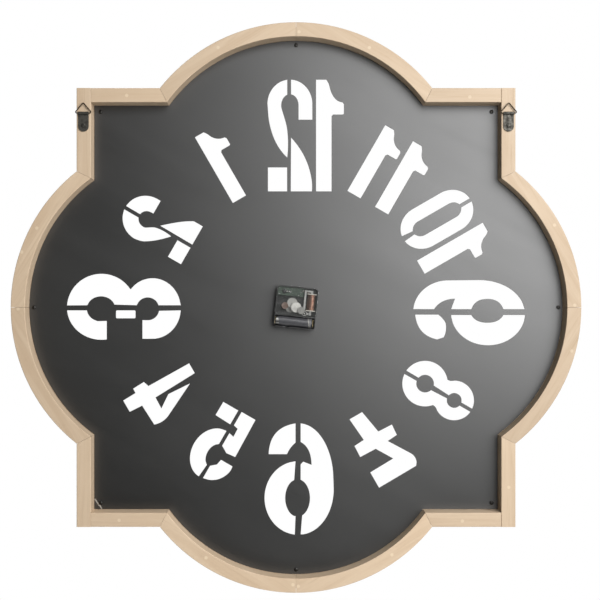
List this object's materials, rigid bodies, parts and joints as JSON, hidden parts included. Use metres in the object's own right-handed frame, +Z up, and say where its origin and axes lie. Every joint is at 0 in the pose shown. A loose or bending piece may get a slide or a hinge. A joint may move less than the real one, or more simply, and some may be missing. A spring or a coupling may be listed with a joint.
{
  "type": "quatrefoil stencil wall clock",
  "caption": "Large barbed-quatrefoil wall clock: wood frame, black sheet-metal dial with numerals cut right through, battery movement and strap hangers behind.",
  "frame": {"origin": "on the axis of the hands, in the plane of the wood rim's rear faces, where they meet the wall", "axes": "+Z up, +Y out of the clock's back towards the wall, +X to the right as seen from the front"},
  "size_m": [0.762, 0.0397, 0.762],
  "materials": {
    "rim_wood": "pale sanded softwood, unsealed",
    "ring_wood": "pale sanded softwood",
    "black_sheet": "satin black paint on sheet steel",
    "dark_screw": "blackened steel",
    "zinc_steel": "zinc plated, dulled",
    "zinc_wire": "zinc plated wire",
    "black_plastic": "moulded",
    "clear_plastic": "clear moulding, faintly smoked",
    "cell_sleeve": "plain shrink sleeve",
    "contact_brass": "sprung strip",
    "board": "resin board",
    "bright_steel": "stamped",
    "white_plastic": "natural moulding",
    "copper_wire": "enamelled copper winding",
    "magnet": "sintered",
    "arbor_steel": "turned",
    "brown_plastic": "moulded",
    "black_rubber": "matt",
    "brass": "turned",
    "cream_enamel": "satin enamel"
  },
  "bodies": {
    "frame": {"rim_top_arc_a": "rim_wood", "rim_top_arc_b": "rim_wood", "rim_right_arc_a": "rim_wood", "rim_right_arc_b": "rim_wood", "rim_bottom_arc_a": "rim_wood", "rim_bottom_arc_b": "rim_wood", "rim_left_arc_a": "rim_wood", "rim_left_arc_b": "rim_wood", "rim_upper_left_rail": "rim_wood", "rim_upper_left_stile": "rim_wood", "rim_upper_right_rail": "rim_wood", "rim_upper_right_stile": "rim_wood", "rim_lower_left_rail": "rim_wood", "rim_lower_left_stile": "rim_wood", "rim_lower_right_rail": "rim_wood", "rim_lower_right_stile": "rim_wood", "front_ring": "ring_wood", "dial_plate": "black_sheet", "dial_screw_top": "dark_screw", "dial_screw_right": "dark_screw", "dial_screw_bottom": "dark_screw", "dial_screw_left": "dark_screw", "dial_screw_upper_right": "dark_screw", "dial_screw_lower_right": "dark_screw", "dial_screw_lower_left": "dark_screw", "dial_screw_upper_left": "dark_screw", "hanger_strap_left": "zinc_steel", "hanger_screw_left": "zinc_steel", "hanger_strap_right": "zinc_steel", "hanger_screw_right": "zinc_steel", "movement_case": "black_plastic", "rear_cover": "clear_plastic", "contact_plus": "contact_brass", "contact_minus": "contact_brass", "circuit_board": "board", "crystal": "bright_steel", "coil_bobbin": "white_plastic", "coil_winding": "copper_wire", "stator": "bright_steel", "rubber_washer": "black_rubber", "brass_washer": "brass", "hex_nut": "brass", "threaded_bush": "brass"},
    "minute_hand": {"minute_arbor": "arbor_steel", "minute_hand": "cream_enamel", "cap_nut": "brass"},
    "hour_hand": {"hour_wheel": "white_plastic", "hour_hand": "cream_enamel"},
    "minute_wheel": {"minute_wheel": "white_plastic"},
    "setting_knob": {"setting_knob": "brown_plastic"},
    "rotor": {"rotor_magnet": "magnet", "rotor_pinion": "white_plastic"},
    "intermediate_wheel": {"intermediate_wheel": "white_plastic"},
    "seconds_wheel": {"seconds_wheel": "white_plastic"},
    "third_wheel": {"third_wheel": "white_plastic"},
    "centre_wheel": {"centre_wheel": "white_plastic"},
    "hanger_ring_left": {"hanger_ring_left": "zinc_wire"},
    "hanger_ring_right": {"hanger_ring_right": "zinc_wire"},
    "aa_cell": {"aa_cell": "cell_sleeve"}
  },
  "joints": [
    {"name": "minute_hand_turn", "type": "hinge", "parent": "frame", "child": "minute_hand", "pos_m": [0, 0, 0], "axis": [0, 1, 0], "continuous": true},
    {"name": "hour_hand_turn", "type": "hinge", "parent": "frame", "child": "hour_hand", "pos_m": [0, 0, 0], "axis": [0, 1, 0], "continuous": true},
    {"name": "minute_wheel_turn", "type": "hinge", "parent": "frame", "child": "minute_wheel", "pos_m": [0.00792, 0, -0.00112], "axis": [0, 1, 0], "continuous": true},
    {"name": "setting_knob_turn", "type": "hinge", "parent": "frame", "child": "setting_knob", "pos_m": [0.01501, 0, 0.00258], "axis": [0, 1, 0], "continuous": true},
    {"name": "rotor_turn", "type": "hinge", "parent": "frame", "child": "rotor", "pos_m": [-0.01116, 0, -0.00828], "axis": [0, 1, 0], "continuous": true},
    {"name": "intermediate_wheel_turn", "type": "hinge", "parent": "frame", "child": "intermediate_wheel", "pos_m": [-0.00684, 0, -0.00411], "axis": [0, 1, 0], "continuous": true},
    {"name": "seconds_wheel_turn", "type": "hinge", "parent": "frame", "child": "seconds_wheel", "pos_m": [0, 0, 0], "axis": [0, 1, 0], "continuous": true},
    {"name": "third_wheel_turn", "type": "hinge", "parent": "frame", "child": "third_wheel", "pos_m": [0.00503, 0, 0.00622], "axis": [0, 1, 0], "continuous": true},
    {"name": "centre_wheel_turn", "type": "hinge", "parent": "frame", "child": "centre_wheel", "pos_m": [0, 0, 0], "axis": [0, 1, 0], "continuous": true},
    {"name": "hanger_ring_left_hinge", "type": "hinge", "parent": "frame", "child": "hanger_ring_left", "pos_m": [-0.2835, 0.00235, 0.25895], "axis": [-1, 0, 0], "range_deg": [-6, 170]},
    {"name": "hanger_ring_right_hinge", "type": "hinge", "parent": "frame", "child": "hanger_ring_right", "pos_m": [0.2835, 0.00235, 0.25895], "axis": [-1, 0, 0], "range_deg": [-6, 170]},
    {"name": "aa_cell_lift", "type": "slide", "parent": "frame", "child": "aa_cell", "axis": [0, 1, 0], "range_m": [0, 0.018]}
  ],
  "couplings": [
    {"joint": "hour_hand_turn", "follows": "minute_hand_turn", "ratio": 0.083333},
    {"joint": "minute_wheel_turn", "follows": "minute_hand_turn", "ratio": -0.33333},
    {"joint": "setting_knob_turn", "follows": "minute_hand_turn", "ratio": 1},
    {"joint": "intermediate_wheel_turn", "follows": "rotor_turn", "ratio": -0.2},
    {"joint": "seconds_wheel_turn", "follows": "rotor_turn", "ratio": 0.033333},
    {"joint": "third_wheel_turn", "follows": "rotor_turn", "ratio": -0.0044444},
    {"joint": "centre_wheel_turn", "follows": "rotor_turn", "ratio": 0.00055556}
  ]
}
